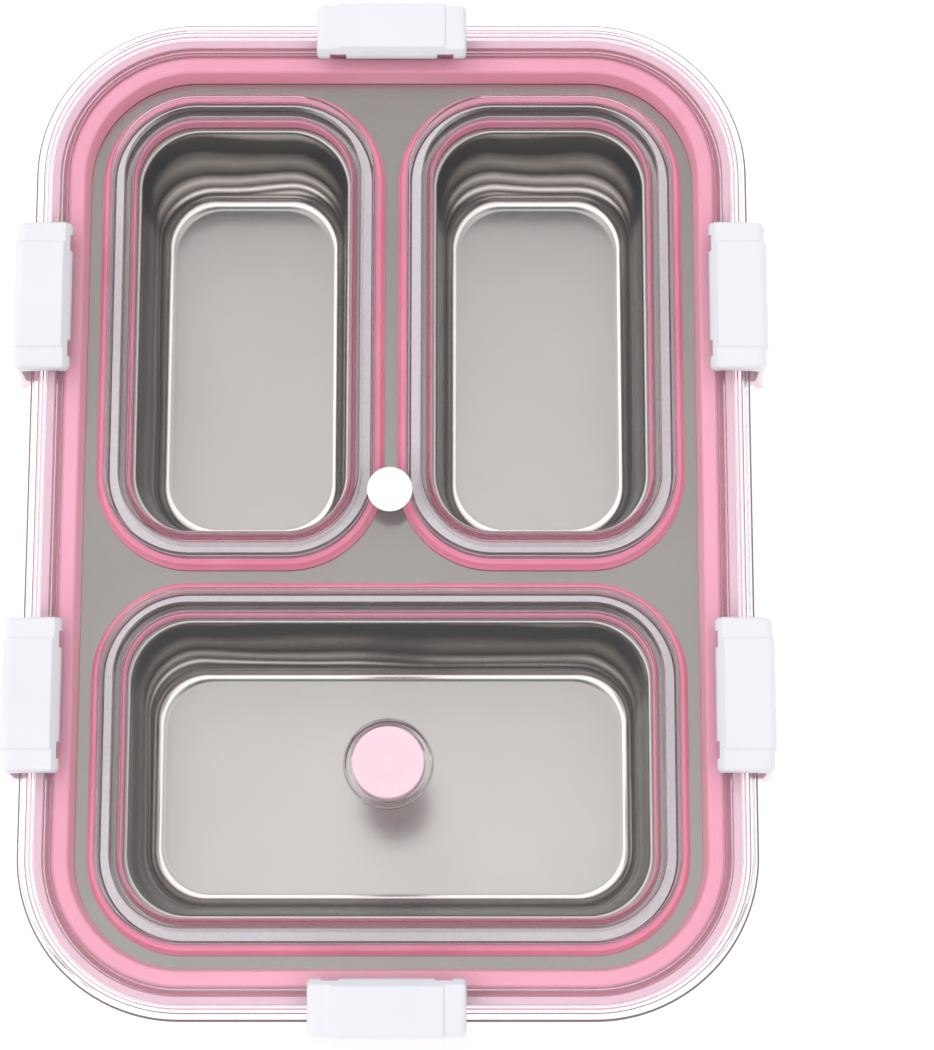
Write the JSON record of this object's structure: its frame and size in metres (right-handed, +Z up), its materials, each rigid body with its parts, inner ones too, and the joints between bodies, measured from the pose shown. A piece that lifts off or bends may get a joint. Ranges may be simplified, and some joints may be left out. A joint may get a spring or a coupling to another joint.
{
  "type": "bento lunch box",
  "caption": "Flat lunch box: moulded shell, pressed steel tray with three compartments, clear sealed lid, snap latches and a vent plug.",
  "frame": {"origin": "centre of the box's footprint, on the plane that its foot ring stands on", "axes": "+X to the right across the width, +Y along the length from the single compartment to the pair, +Z up out of the lid"},
  "size_m": [0.21, 0.29, 0.0621],
  "materials": {
    "pink_shell": "satin moulded polypropylene",
    "pink_silicone": "matte moulded silicone",
    "steel": "satin pressed stainless steel",
    "clear_lid": "clear polished copolyester",
    "white_latch": "satin moulded polypropylene",
    "pin_steel": "drawn stainless steel wire"
  },
  "bodies": {
    "base": {"outer_shell": "pink_shell", "rim_frame": "pink_shell", "steel_tray": "steel"},
    "lid": {"lid": "clear_lid", "lid_gasket": "pink_silicone", "seal_rear_left": "pink_silicone", "seal_rear_right": "pink_silicone", "seal_front": "pink_silicone", "hinge_pin_left_rear": "pin_steel", "hinge_pin_left_front": "pin_steel", "hinge_pin_right_rear": "pin_steel", "hinge_pin_right_front": "pin_steel", "hinge_pin_front": "pin_steel", "hinge_pin_rear": "pin_steel"},
    "vent_plug": {"vent_plug": "pink_silicone"},
    "latch_left_rear": {"latch_left_rear": "white_latch"},
    "latch_left_front": {"latch_left_front": "white_latch"},
    "latch_right_rear": {"latch_right_rear": "white_latch"},
    "latch_right_front": {"latch_right_front": "white_latch"},
    "latch_front": {"latch_front": "white_latch"},
    "latch_rear": {"latch_rear": "white_latch"}
  },
  "joints": [
    {"name": "lid_lift", "type": "slide", "parent": "base", "child": "lid", "axis": [0, 0, 1], "range_m": [0, 0.12]},
    {"name": "vent_plug_pull", "type": "slide", "parent": "lid", "child": "vent_plug", "axis": [0, 0, 1], "range_m": [0, 0.0035]},
    {"name": "latch_left_rear_hinge", "type": "hinge", "parent": "lid", "child": "latch_left_rear", "pos_m": [-0.09, 0.0585, 0.0589], "axis": [0, 1, 0], "range_deg": [0, 110]},
    {"name": "latch_left_front_hinge", "type": "hinge", "parent": "lid", "child": "latch_left_front", "pos_m": [-0.09, -0.0525, 0.0589], "axis": [0, 1, 0], "range_deg": [0, 110]},
    {"name": "latch_right_rear_hinge", "type": "hinge", "parent": "lid", "child": "latch_right_rear", "pos_m": [0.09, 0.0585, 0.0589], "axis": [0, -1, 0], "range_deg": [0, 110]},
    {"name": "latch_right_front_hinge", "type": "hinge", "parent": "lid", "child": "latch_right_front", "pos_m": [0.09, -0.0525, 0.0589], "axis": [0, -1, 0], "range_deg": [0, 110]},
    {"name": "latch_front_hinge", "type": "hinge", "parent": "lid", "child": "latch_front", "pos_m": [0, -0.13, 0.0589], "axis": [-1, 0, 0], "range_deg": [0, 110]},
    {"name": "latch_rear_hinge", "type": "hinge", "parent": "lid", "child": "latch_rear", "pos_m": [0, 0.13, 0.0589], "axis": [1, 0, 0], "range_deg": [0, 110]}
  ]
}
